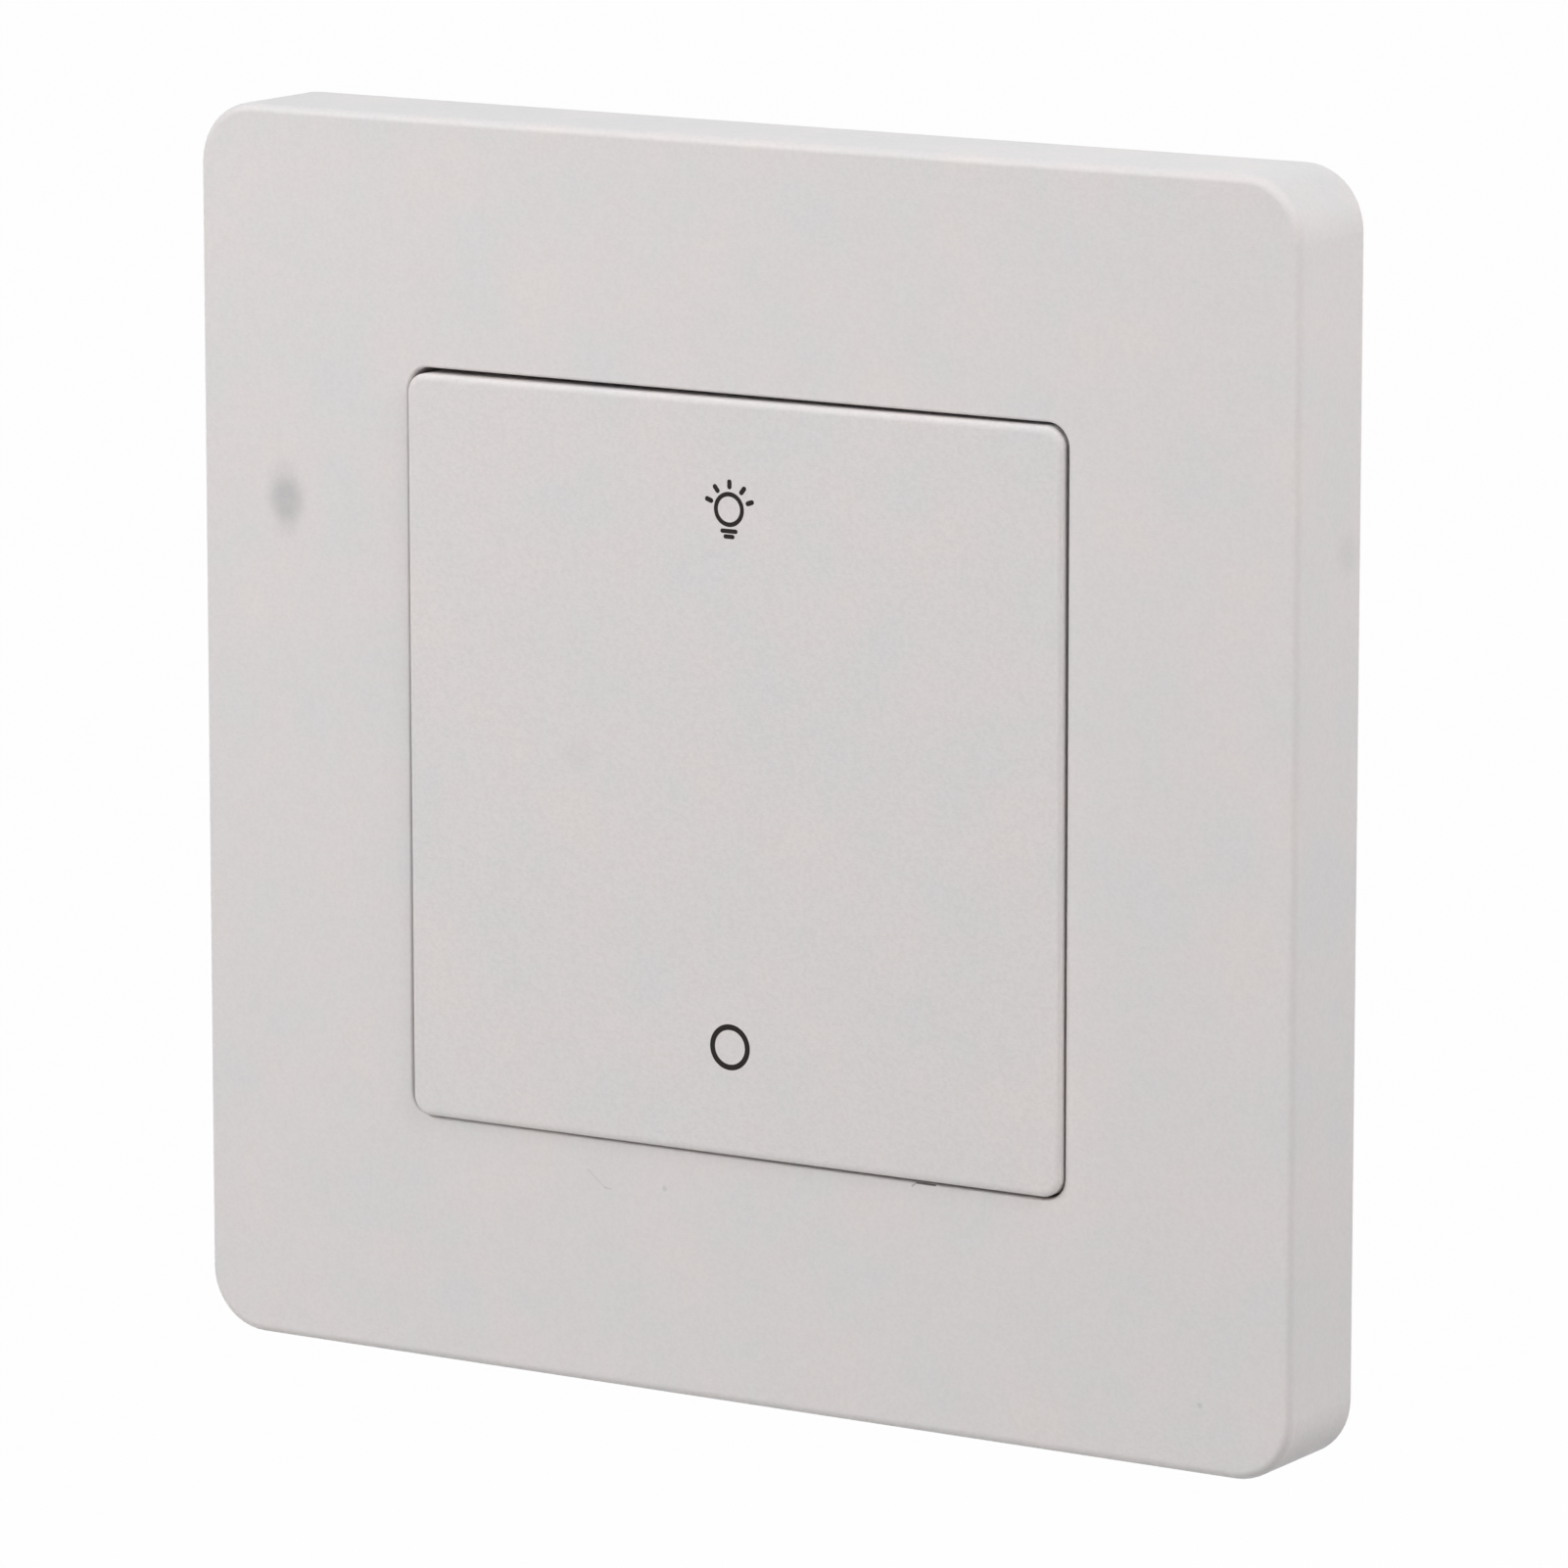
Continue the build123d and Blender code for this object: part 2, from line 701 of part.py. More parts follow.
nodes = {
    "front_frame": build_front_frame(),
    "rocker_cap": build_rocker_cap(),
    "mounting_bracket": build_mounting_bracket(),
    "switch_carrier": build_switch_carrier(),
    "carrier_screws": build_carrier_screws(),
    "rear_housing": build_rear_housing(),
    "control_board": build_control_board(),
    "control_chip": build_control_chip(),
    "upper_push_switch": build_push_switch(stem_offset),
    "lower_push_switch": build_push_switch(-stem_offset),
    "upper_switch_stem": build_switch_stem(stem_offset),
    "lower_switch_stem": build_switch_stem(-stem_offset),
    "radio_board": build_radio_board(),
    "radio_shield": build_radio_shield(),
    "board_header": build_board_header(),
    "header_pins": build_header_pins(),
    "power_board": build_power_board(),
    "filter_choke": build_filter_choke(),
    "storage_capacitor": build_storage_capacitor(),
    "film_capacitor": build_film_capacitor(),
    "mains_fuse": build_mains_fuse(),
    "surge_varistor": build_surge_varistor(),
    "supply_transformer": build_supply_transformer(),
    "dimmer_transistors": build_dimmer_transistors(),
    "heat_spreader": build_heat_spreader(),
    "terminal_block": build_terminal_block(),
    "terminal_clamps": build_terminal_clamps(),
    "terminal_screws": build_terminal_screws(),
}

os.makedirs("parts", exist_ok=True)
for name, shape in nodes.items():
    shape.label = name
    export_step(shape, f"parts/{name}.step")
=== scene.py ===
import json
from math import cos, pi, radians, sin

import bmesh
import bpy
from mathutils import Matrix, Vector


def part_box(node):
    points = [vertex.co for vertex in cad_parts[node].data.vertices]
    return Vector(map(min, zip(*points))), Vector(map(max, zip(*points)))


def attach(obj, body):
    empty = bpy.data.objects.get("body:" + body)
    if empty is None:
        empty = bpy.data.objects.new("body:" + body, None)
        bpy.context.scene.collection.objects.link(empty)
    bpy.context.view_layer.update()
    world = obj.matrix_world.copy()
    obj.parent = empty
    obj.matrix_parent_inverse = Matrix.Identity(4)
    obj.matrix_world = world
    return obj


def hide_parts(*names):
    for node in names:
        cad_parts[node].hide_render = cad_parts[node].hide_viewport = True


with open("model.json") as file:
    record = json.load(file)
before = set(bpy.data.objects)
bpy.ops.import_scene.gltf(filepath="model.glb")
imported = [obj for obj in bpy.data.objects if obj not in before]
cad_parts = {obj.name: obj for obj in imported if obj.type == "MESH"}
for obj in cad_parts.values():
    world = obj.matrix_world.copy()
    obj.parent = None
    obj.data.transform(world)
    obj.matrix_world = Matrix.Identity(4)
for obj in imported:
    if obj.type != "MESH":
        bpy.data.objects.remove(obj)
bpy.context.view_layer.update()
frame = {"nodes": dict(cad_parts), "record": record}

MM = 0.001
WHITE = (1.0, 1.0, 1.0)

# Camera fitted to the plate in the photograph: degrees, metres, pixels, and its sensor in millimetres
IMAGE_SIDE = 1601
CAMERA_AZIMUTH = 31.854
CAMERA_ELEVATION = 10.269
CAMERA_ROLL = 0.028
CAMERA_DISTANCE = 0.6519
FOCAL_PIXELS = 9853.8
CENTRE_RIGHT_PIXELS = 13.42
CENTRE_UP_PIXELS = 24.94
SENSOR_WIDTH = 36.0

# The rocker as it sits in its opening: turn in degrees, shift to the right and front edge in millimetres
ROCKER_TURN = 0.17
ROCKER_SHIFT = 0.05
EDGE_WIDTH = 0.5
EDGE_MARGIN = 0.0005
EDGE_DEPTH_SHARE = 0.5

# Printed signs on the rocker, in millimetres from the middle of the plate, with the rays' angles in degrees
INK_THICKNESS = 0.006
INK_SUNK = 0.004
BULB_ACROSS = 0.125
BULB_HEIGHT = 18.25
BULB_DIAMETER = 2.36
BULB_STROKE = 0.31
RAY_ANGLES = (19, 52, 90, 128, 161)
RAYS_ACROSS = 0.17
RAY_RADIUS = 1.69
RAY_LENGTH = 0.67
RAY_WIDTH = 0.34
BASE_BARS = ((-1.46, 1.35), (-1.83, 0.87))
BASE_BAR_WIDTH = 0.3
RING_ACROSS = 0.065
RING_HEIGHT = -18.26
RING_DIAMETER = 3.15
RING_STROKE = 0.39
CIRCLE_STEPS = 96
BAR_END_STEPS = 12

# Marks on the front, in millimetres: middle or both ends, radius or width, and how far each one darkens
# The soft spots of 1.5 to 2.1 mm radius are painted shade: shadows of dust, not dust on the plate. The two
# small specks and the hairs are real dust.
FRAME_SPECKS_AND_DUST_SHADOWS = (
    ((-36.0, -8.3, 15.9), 2.1, 0.25),
    ((-36.2, -8.3, 17.4), 1.9, 0.08),
    ((-36.0, -8.3, 14.3), 1.5, 0.08),
    ((43.0, -1.8, 18.0), 2.0, 0.075),
    ((-5.39, -8.3, -28.73), 0.28, 0.16),
    ((36.27, -8.3, -38.29), 0.3, 0.16),
)
FRAME_HAIRS = (
    ((14.5, -8.22, -25.97), (15.95, -8.22, -25.98), 0.1, 0.85),
    ((14.2, -8.3, -26.2), (14.4, -8.26, -26.03), 0.1, 0.35),
    ((-11.57, -8.3, -28.15), (-10.2, -8.3, -29.24), 0.1, 0.1),
    ((-10.2, -8.3, -29.24), (-9.75, -8.3, -29.28), 0.1, 0.14),
)
# The rocker's soft spot is painted shade: a shadow of dust, not dust on the rocker.
ROCKER_DUST_SHADOWS = (((-11.94, -8.8, 0.58), 1.9, 0.035),)
# Grey of the dust specks and of the painted dust shadows
SPECK_AND_DUST_SHADOW_GREY = (0.02, 0.055, 0.085)
DUST_GREY = (0.04, 0.038, 0.037)

# Share of a mark's radius or width that is dark all through
SPOT_CORE = 0.25
HAIR_CORE = 0.4

# Soft masks: where in a noise's range each one starts and where it is full
CLOUD_MASK = (0.3, 0.7)
GRAIN_MASK = (0.35, 0.7)
MOTTLE_MASK = (0.25, 0.75)
PIT_MASK = (0.35, 0.75)
LINE_MASK = (0.4, 0.7)
TARNISH_MASK = (0.35, 0.8)
SPECK_MASK = (0.6, 0.75)

# Noise: how many octaves it has, and how strongly the finer ones show
PLAIN_DETAIL = 2.0
RICH_DETAIL = 3.0
TINT_DETAIL = 4.0
PLAIN_FINENESS = 0.5
GRAIN_FINENESS = 0.6
TINT_FINENESS = 0.65

# Front plastic: colours, patterns in millimetres, and how far each pattern darkens or roughens it
PLASTIC_IOR = 1.49
FRONT_WARM = (0.729, 0.6827, 0.675)
FRONT_COOL = (0.709, 0.6863, 0.693)
TINT_SIZE = 7.0
CLOUD_SIZE = 7.0
PEBBLE_SIZE = 0.8
GRAIN_SIZE = 0.28
CLOUD_SHADE = 0.018
PEBBLE_SHADE = 0.012
FRAME_GRAIN_DEPTH = 0.016
FRAME_GRAIN_SHADE = 0.038
ROCKER_GRAIN_DEPTH = 0.025
ROCKER_GRAIN_SHADE = 0.05
FRONT_ROUGHNESS = 0.5
CLOUD_ROUGHNESS = 0.06
GRAIN_ROUGHNESS = 0.1

# Moulded plastic behind the front, with patterns in millimetres and a factor on its colour
MOTTLE_SIZE = 12.0
MOULD_GRAIN = 0.22
MOULD_GRAIN_DEPTH = 0.012
HOUSING_GRAIN = 0.3
HOUSING_GRAIN_DEPTH = 0.02
MOULD_MOTTLE = 0.04
TERMINAL_MOTTLE = 0.08
PIT_SHARE = 0.6
PIT_FACTOR = 0.9
MOULD_ROUGHNESS = 0.41
MOTTLE_ROUGHNESS = 0.08

# Zinc-plated sheet: patterns in millimetres, rolling lines drawn out along X, and factors on its colour
ZINC_DARK_FACTOR = 0.86
ZINC_BRIGHT_FACTOR = 1.06
SPANGLES_PER_METRE = 420.0
SPANGLE_RELIEF_SHARE = 0.4
PATCH_SIZE = 9.0
ROLLING_LINE = 0.4
ROLLING_STRETCH = (0.06, 1.0, 1.0)
ROLLING_SHARE = 0.3
ROLLING_FACTOR = 0.9
SHEET_RELIEF = 0.004
SHEET_ROUGHNESS = 0.3
SPANGLE_ROUGHNESS = 0.1
PATCH_ROUGHNESS = 0.14

# Plain metals: patterns in millimetres, scratches drawn out along Y, and factors on the colour
TARNISH_SIZE = 3.0
TARNISH_FACTOR = 0.66
SCRATCH_SIZE = 0.3
SCRATCH_STRETCH = (1.0, 0.1, 1.0)
SCRATCH_SHARE = 0.4
SCRATCH_FACTOR = 0.7
SCRATCH_DEPTH = 0.004
METAL_ROUGHNESS = 0.3
TARNISH_ROUGHNESS = 0.15
SCRATCH_ROUGHNESS = 0.08

# Circuit boards: tracks as the joints of a brick pattern in its own units, height and wear in millimetres
BOARD_IOR = 1.5
MASK_DARK_FACTOR = 0.85
MASK_BRIGHT_FACTOR = 1.15
TRACK_FACTOR = 1.7
TRACK_UNITS_PER_METRE = 240.0
TRACK_JOINT = 0.09
TRACK_SQUASH = 0.7
TRACK_HEIGHT = 0.03
BOARD_WEAR = 4.0
BOARD_ROUGHNESS = 0.3
WEAR_ROUGHNESS = 0.15

# Resin coats, with patterns in millimetres and a factor on the colour
RESIN_IOR = 1.52
WAVE_SIZE = 2.5
WAVE_ROUGHNESS = 0.16
SPECK_SIZE = 0.25
SPECK_SHARE = 0.4
SPECK_FACTOR = 1.5
SPECK_RELIEF_SHARE = 0.15
COAT_RELIEF = 0.02
RESIN_ROUGHNESS = 0.45

# Copper wire and printing ink, with patterns in millimetres and factors on the colour
WIRE_METALLIC = 0.8
WIRE_PITCH = 0.42
WIRE_RELIEF = 0.12
# Painted shade in the grooves between the wire's turns
WIRE_GROOVE_SHADE_FACTOR = 0.45
WIRE_WEAR = 1.5
WIRE_ROUGHNESS = 0.28
INK_IOR = 1.45
INK_SPECULAR = 0.2
INK_COAT = 0.25
INK_DARK_FACTOR = 0.8
INK_BRIGHT_FACTOR = 1.3
INK_RELIEF = 0.002
INK_ROUGHNESS = 0.5

# Roughness of single finishes that differ from their kind
CHIP_ROUGHNESS = 0.55
FERRITE_ROUGHNESS = 0.6
GLOSSY_COAT_ROUGHNESS = 0.35
GOLD_ROUGHNESS = 0.2
BRASS_ROUGHNESS = 0.26
SPREADER_ROUGHNESS = 0.35

# Floor and surroundings, with lengths in metres
FLOOR_DROP = 0.35
FLOOR_SIZE = 12.0
FLOOR_TONE = (0.805, 0.768, 0.748)
FLOOR_ROUGHNESS = 0.9
FLOOR_WHITE_SHARE = 0.985
ROOM_LEVEL = 0.06
BACKDROP_LEVEL = 0.82
OVERHEAD_TONE = (0.56, 1.04, 1.2)
BACKWARD = (0.0, 1.0, 0.0)
UPWARD = (0.0, 0.0, 1.0)

# Lamps: place, width and height in metres, power in watts
KEY_PLACE = (-0.36, -0.42, 0.345)
KEY_SIZE = (0.3, 0.3)
KEY_POWER = 3.03
SIDE_PLACE = (0.42, -0.105, 0.352)
SIDE_SIZE = (0.32, 0.32)
SIDE_POWER = 2.29
SIDE_TONE = (1.0, 0.972, 0.958)
LOW_PLACE = (-0.1, -0.5, -0.25)
LOW_SIZE = (0.6, 0.2)
LOW_POWER = 0.43
LOW_TONE = (1.0, 0.97, 0.93)
REAR_PLACE = (-0.12, 1.2, -0.12)
REAR_SIZE = (0.24, 0.24)
REAR_POWER = 2.8
REAR_TONE = (1.0, 0.985, 0.97)


class Value:
    """A shader socket that takes part in Python arithmetic; each operator adds a Math node."""

    def __init__(self, finish, socket):
        self.finish = finish
        self.socket = socket

    def math(self, operation, *others, clamp=False):
        """A Math node on this value and others."""
        settings = {"operation": operation, "use_clamp": clamp}
        return self.finish.node("ShaderNodeMath", settings, dict(enumerate((self, *others))))

    def __add__(self, other):
        return self.math("ADD", other)

    def __sub__(self, other):
        return self.math("SUBTRACT", other)

    def __mul__(self, other):
        return self.math("MULTIPLY", other)

    def __radd__(self, other):
        return self + other

    def __rsub__(self, other):
        return self.finish.node("ShaderNodeMath", {"operation": "SUBTRACT"}, {0: other, 1: self})

    def __rmul__(self, other):
        return self * other

    def limited(self):
        """Clamped between 0 and 1."""
        return self.math("ADD", 0.0, clamp=True)

    def step(self, low, high):
        """Smooth rise from 0 at low to 1 at high."""
        settings = {"interpolation_type": "SMOOTHSTEP"}
        sockets = {"Value": self, "From Min": low, "From Max": high}
        return self.finish.node("ShaderNodeMapRange", settings, sockets)


class Finish:
    """One material: a principled shader and the nodes that feed it."""

    def __init__(self, name, **constants):
        self.material = bpy.data.materials.new(name)
        self.material.use_nodes = True
        self.tree = self.material.node_tree
        self.shader = self.tree.nodes["Principled BSDF"]
        for socket, value in constants.items():
            self.set(socket.replace("_", " "), value)

    def node(self, kind, settings=None, sockets=None, output=0):
        """Add a node, set it up, then give its sockets values or links."""
        node = self.tree.nodes.new(kind)
        for key, value in (settings or {}).items():
            setattr(node, key, value)
        for key, value in (sockets or {}).items():
            self.feed(node.inputs[key], value)
        return Value(self, node.outputs[output])

    def feed(self, socket, value):
        """Link a value to a socket, or set the socket to a number, a vector or a colour."""
        if isinstance(value, Value):
            self.tree.links.new(value.socket, socket)
        elif socket.type == "RGBA":
            socket.default_value = (*value, 1.0)
        else:
            socket.default_value = value

    def set(self, socket, value):
        """Link a value to a socket of the shader, or set it."""
        self.feed(self.shader.inputs[socket], value)

    def place(self):
        """Position on the object in metres."""
        return self.node("ShaderNodeTexCoord", output="Object")

    def axis(self, name):
        """One coordinate of that position."""
        return self.node("ShaderNodeSeparateXYZ", sockets={0: self.place()}, output=name)

    def vector(self, operation, first, second, output=0):
        """A Vector Math node on two vectors."""
        return self.node("ShaderNodeVectorMath", {"operation": operation}, {0: first, 1: second}, output)

    def stretched(self, factors):
        """Position with each axis multiplied, for grain that runs one way."""
        return self.vector("MULTIPLY", self.place(), factors)

    def distance(self, first, second):
        """Length from one point to another."""
        return self.vector("DISTANCE", first, second, output="Value")

    def soft_spot(self, centre, radius):
        """1 round a point of the surface, fading out to a radius, both in millimetres; used for dust specks
        and for painted dust shadows.
        """
        reach = self.distance(self.place(), [MM * c for c in centre])
        return 1 - reach.step(MM * radius * SPOT_CORE, MM * radius)

    def hair(self, start, end, width):
        """1 along a straight run between two points of the surface, in millimetres."""
        run = MM * (Vector(end) - Vector(start))
        offset = self.vector("SUBTRACT", self.place(), MM * Vector(start))
        along = self.vector("DOT_PRODUCT", offset, run, output="Value")
        share = (along * (1 / run.length_squared)).limited()
        nearest = self.node("ShaderNodeVectorMath", {"operation": "SCALE"}, {0: run, "Scale": share})
        return 1 - self.distance(offset, nearest).step(MM * width * HAIR_CORE, MM * width)

    def noise(self, size, detail=PLAIN_DETAIL, fineness=PLAIN_FINENESS, place=None):
        """Noise from 0 to 1 with features about as large as size, in millimetres."""
        sockets = {
            "Vector": place or self.place(),
            "Scale": 1 / (MM * size),
            "Detail": detail,
            "Roughness": fineness,
        }
        return self.node("ShaderNodeTexNoise", sockets=sockets)

    def mix(self, factor, first, second):
        """Blend of two colours, which are sockets 6 and 7 of the node, with the result at output 2."""
        sockets = {"Factor": factor, 6: first, 7: second}
        return self.node("ShaderNodeMix", {"data_type": "RGBA"}, sockets, output=2)

    def bump(self, height, depth):
        """Relief of the given depth, in millimetres."""
        self.set("Normal", self.node("ShaderNodeBump", sockets={"Distance": MM * depth, "Height": height}))


def shade(colour, factor):
    """The colour made darker or lighter."""
    return tuple(c * factor for c in colour)


# Finishes
def front_plastic(name, grain_depth, grain_shade, specks_and_dust_shadows, hairs=()):
    """Matt white front: spark-eroded grain, faint warm and cool clouds, the dust it has picked up, and
    painted dust shadows.
    """
    finish = Finish(name, IOR=PLASTIC_IOR)
    clouds = finish.noise(CLOUD_SIZE, detail=RICH_DETAIL)
    tint = finish.noise(TINT_SIZE, detail=TINT_DETAIL, fineness=TINT_FINENESS)
    pebbles = finish.noise(PEBBLE_SIZE)
    grain = finish.noise(GRAIN_SIZE, fineness=GRAIN_FINENESS)
    tone = finish.mix(tint.step(*CLOUD_MASK), FRONT_WARM, FRONT_COOL)
    dull = clouds.step(*CLOUD_MASK) * CLOUD_SHADE + pebbles.step(*CLOUD_MASK) * PEBBLE_SHADE
    tone = finish.mix(dull, tone, DUST_GREY)
    tone = finish.mix(grain.step(*GRAIN_MASK) * grain_shade, tone, DUST_GREY)
    # Small specks of real dust, and soft spots of painted shade that stand in for dust shadows
    for centre, radius, depth in specks_and_dust_shadows:
        tone = finish.mix(finish.soft_spot(centre, radius) * depth, tone, SPECK_AND_DUST_SHADOW_GREY)
    for start, end, width, depth in hairs:
        tone = finish.mix(finish.hair(start, end, width) * depth, tone, DUST_GREY)
    finish.set("Base Color", tone)
    finish.set("Roughness", FRONT_ROUGHNESS + clouds * CLOUD_ROUGHNESS + grain * GRAIN_ROUGHNESS)
    finish.bump(grain, grain_depth)
    return finish


def moulded_plastic(name, colour, mottle=MOULD_MOTTLE, grain=MOULD_GRAIN, grain_depth=MOULD_GRAIN_DEPTH):
    """Moulded plastic with a fine eroded grain, slight mottle and uneven sheen."""
    finish = Finish(name, IOR=PLASTIC_IOR)
    broad = finish.noise(MOTTLE_SIZE, detail=RICH_DETAIL)
    fine = finish.noise(grain, detail=RICH_DETAIL, fineness=GRAIN_FINENESS)
    tone = finish.mix(broad.step(*MOTTLE_MASK), shade(colour, 1 - mottle), shade(colour, 1 + mottle))
    pits = fine.step(*PIT_MASK) * PIT_SHARE
    finish.set("Base Color", finish.mix(pits, tone, shade(colour, PIT_FACTOR)))
    finish.set("Roughness", MOULD_ROUGHNESS + broad * MOTTLE_ROUGHNESS + fine * GRAIN_ROUGHNESS)
    finish.bump(fine, grain_depth)
    return finish


def zinc_plated_steel(name, colour):
    """Rolled sheet with a zinc coat: faint spangle, rolling lines and dull patches."""
    finish = Finish(name, Metallic=1.0)
    cells = {"Vector": finish.place(), "Scale": SPANGLES_PER_METRE}
    crystals = finish.node("ShaderNodeTexVoronoi", sockets=cells, output="Color")
    spangle = finish.node("ShaderNodeRGBToBW", sockets={0: crystals})
    rolled = finish.noise(ROLLING_LINE, place=finish.stretched(ROLLING_STRETCH))
    patches = finish.noise(PATCH_SIZE, detail=RICH_DETAIL)
    dull = shade(colour, ZINC_DARK_FACTOR)
    bright = shade(colour, ZINC_BRIGHT_FACTOR)
    tone = finish.mix((spangle + patches) * 0.5, dull, bright)
    lines = rolled.step(*LINE_MASK) * ROLLING_SHARE
    finish.set("Base Color", finish.mix(lines, tone, shade(colour, ROLLING_FACTOR)))
    finish.set("Roughness", SHEET_ROUGHNESS + spangle * SPANGLE_ROUGHNESS + patches * PATCH_ROUGHNESS)
    finish.bump(rolled + spangle * SPANGLE_RELIEF_SHARE, SHEET_RELIEF)
    return finish


def plain_metal(name, colour, roughness=METAL_ROUGHNESS):
    """Turned or drawn metal with fine scratches and slight tarnish."""
    finish = Finish(name, Metallic=1.0)
    scratches = finish.noise(SCRATCH_SIZE, place=finish.stretched(SCRATCH_STRETCH))
    tarnish = finish.noise(TARNISH_SIZE, detail=RICH_DETAIL)
    tone = finish.mix(tarnish.step(*TARNISH_MASK), colour, shade(colour, TARNISH_FACTOR))
    lines = scratches.step(*LINE_MASK) * SCRATCH_SHARE
    finish.set("Base Color", finish.mix(lines, tone, shade(colour, SCRATCH_FACTOR)))
    finish.set("Roughness", roughness + tarnish * TARNISH_ROUGHNESS + scratches * SCRATCH_ROUGHNESS)
    finish.bump(scratches, SCRATCH_DEPTH)
    return finish


def circuit_board(name, colour):
    """Solder mask over copper tracks, which stand up a little and show paler."""
    finish = Finish(name, IOR=BOARD_IOR)
    across = finish.node("ShaderNodeCombineXYZ", sockets={0: finish.axis("X"), 1: finish.axis("Z")})
    layout = {"Vector": across, "Scale": TRACK_UNITS_PER_METRE, "Mortar Size": TRACK_JOINT}
    tracks = finish.node("ShaderNodeTexBrick", {"squash": TRACK_SQUASH}, layout, output="Fac")
    wear = finish.noise(BOARD_WEAR, detail=RICH_DETAIL)
    mask = finish.mix(wear, shade(colour, MASK_DARK_FACTOR), shade(colour, MASK_BRIGHT_FACTOR))
    finish.set("Base Color", finish.mix(tracks, mask, shade(colour, TRACK_FACTOR)))
    finish.set("Roughness", BOARD_ROUGHNESS + wear * WEAR_ROUGHNESS)
    finish.bump(tracks, TRACK_HEIGHT)
    return finish


def cast_resin(name, colour, roughness=RESIN_ROUGHNESS):
    """Dipped or cast coating: smooth with slow waves and specks."""
    finish = Finish(name, IOR=RESIN_IOR)
    waves = finish.noise(WAVE_SIZE)
    specks = finish.noise(SPECK_SIZE)
    pale = specks.step(*SPECK_MASK) * SPECK_SHARE
    finish.set("Base Color", finish.mix(pale, colour, shade(colour, SPECK_FACTOR)))
    finish.set("Roughness", roughness + (waves - 0.5) * WAVE_ROUGHNESS)
    finish.bump(waves + specks * SPECK_RELIEF_SHARE, COAT_RELIEF)
    return finish


def copper_winding(name, colour):
    """Enamelled wire wound round the Y axis in tight turns, with painted shade in the grooves between them.
    """
    finish = Finish(name, Metallic=WIRE_METALLIC)
    turns = (finish.axis("Y") * (2 * pi / (MM * WIRE_PITCH))).math("SINE") * 0.5 + 0.5
    wear = finish.noise(WIRE_WEAR)
    # Painted shade: the colour darkens in the grooves between turns
    finish.set("Base Color", finish.mix(turns, shade(colour, WIRE_GROOVE_SHADE_FACTOR), colour))
    finish.set("Roughness", WIRE_ROUGHNESS + wear * WEAR_ROUGHNESS)
    finish.bump(turns, WIRE_RELIEF)
    return finish


def sign_ink(name, colour):
    """Pad-printed ink: nearly black brown and matt, with a slightly uneven coat."""
    finish = Finish(name, IOR=INK_IOR, Specular_IOR_Level=INK_SPECULAR)
    coat = finish.noise(INK_COAT, detail=RICH_DETAIL)
    tone = finish.mix(coat, shade(colour, INK_DARK_FACTOR), shade(colour, INK_BRIGHT_FACTOR))
    finish.set("Base Color", tone)
    finish.set("Roughness", INK_ROUGHNESS + coat * WEAR_ROUGHNESS)
    finish.bump(coat, INK_RELIEF)
    return finish


# Each material slot's finish: its kind, its colour or its grain and marks, then what differs from the kind
SLOT_FINISHES = {
    "frame_plastic": (front_plastic, FRAME_GRAIN_DEPTH, FRAME_GRAIN_SHADE, FRAME_SPECKS_AND_DUST_SHADOWS, FRAME_HAIRS),
    "rocker_plastic": (front_plastic, ROCKER_GRAIN_DEPTH, ROCKER_GRAIN_SHADE, ROCKER_DUST_SHADOWS),
    "sign_ink": (sign_ink, (0.012, 0.0085, 0.0075)),
    "zinc_steel": (zinc_plated_steel, (0.5, 0.51, 0.52)),
    "screw_steel": (plain_metal, (0.62, 0.62, 0.62)),
    "carrier_plastic": (moulded_plastic, (0.55, 0.55, 0.54)),
    "housing_plastic": (
        moulded_plastic,
        (0.625, 0.6, 0.58),
        MOULD_MOTTLE,
        HOUSING_GRAIN,
        HOUSING_GRAIN_DEPTH,
    ),
    "board_laminate": (circuit_board, (0.02, 0.13, 0.055)),
    "chip_resin": (cast_resin, (0.02, 0.02, 0.022), CHIP_ROUGHNESS),
    "switch_plastic": (moulded_plastic, (0.025, 0.025, 0.027)),
    "stem_plastic": (moulded_plastic, (0.62, 0.62, 0.6)),
    "shield_tin": (plain_metal, (0.7, 0.69, 0.67)),
    "header_plastic": (moulded_plastic, (0.02, 0.02, 0.022)),
    "pin_gold": (plain_metal, (0.83, 0.62, 0.28), GOLD_ROUGHNESS),
    "choke_winding": (copper_winding, (0.6, 0.24, 0.1)),
    "capacitor_sleeve": (cast_resin, (0.02, 0.035, 0.09), GLOSSY_COAT_ROUGHNESS),
    "film_resin": (cast_resin, (0.55, 0.36, 0.04)),
    "fuse_resin": (cast_resin, (0.05, 0.04, 0.035)),
    "varistor_coat": (cast_resin, (0.02, 0.1, 0.36), GLOSSY_COAT_ROUGHNESS),
    "ferrite": (cast_resin, (0.05, 0.05, 0.055), FERRITE_ROUGHNESS),
    "spreader_metal": (plain_metal, (0.78, 0.78, 0.79), SPREADER_ROUGHNESS),
    "terminal_plastic": (moulded_plastic, (0.045, 0.155, 0.07), TERMINAL_MOTTLE),
    "terminal_brass": (plain_metal, (0.68, 0.46, 0.2), BRASS_ROUGHNESS),
}
finishes = {slot: maker(slot, *values) for slot, (maker, *values) in SLOT_FINISHES.items()}
for row in frame["record"]["subparts"]:
    node = frame["nodes"][row["node"]]
    node.data.materials.clear()
    node.data.materials.append(finishes[row["material_slot"]].material)


# The rocker, and where its turn takes a point of the straight one
rocker_low, rocker_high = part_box("rocker_cap")
rocker_middle = (rocker_low + rocker_high) / 2
rocker_turn = Matrix.Rotation(-radians(ROCKER_TURN), 3, "Y")
seat_middle = rocker_middle + Vector((ROCKER_SHIFT * MM, 0.0, 0.0))
rocker_seat = Matrix.Translation(seat_middle) @ rocker_turn.to_4x4() @ Matrix.Translation(-rocker_middle)


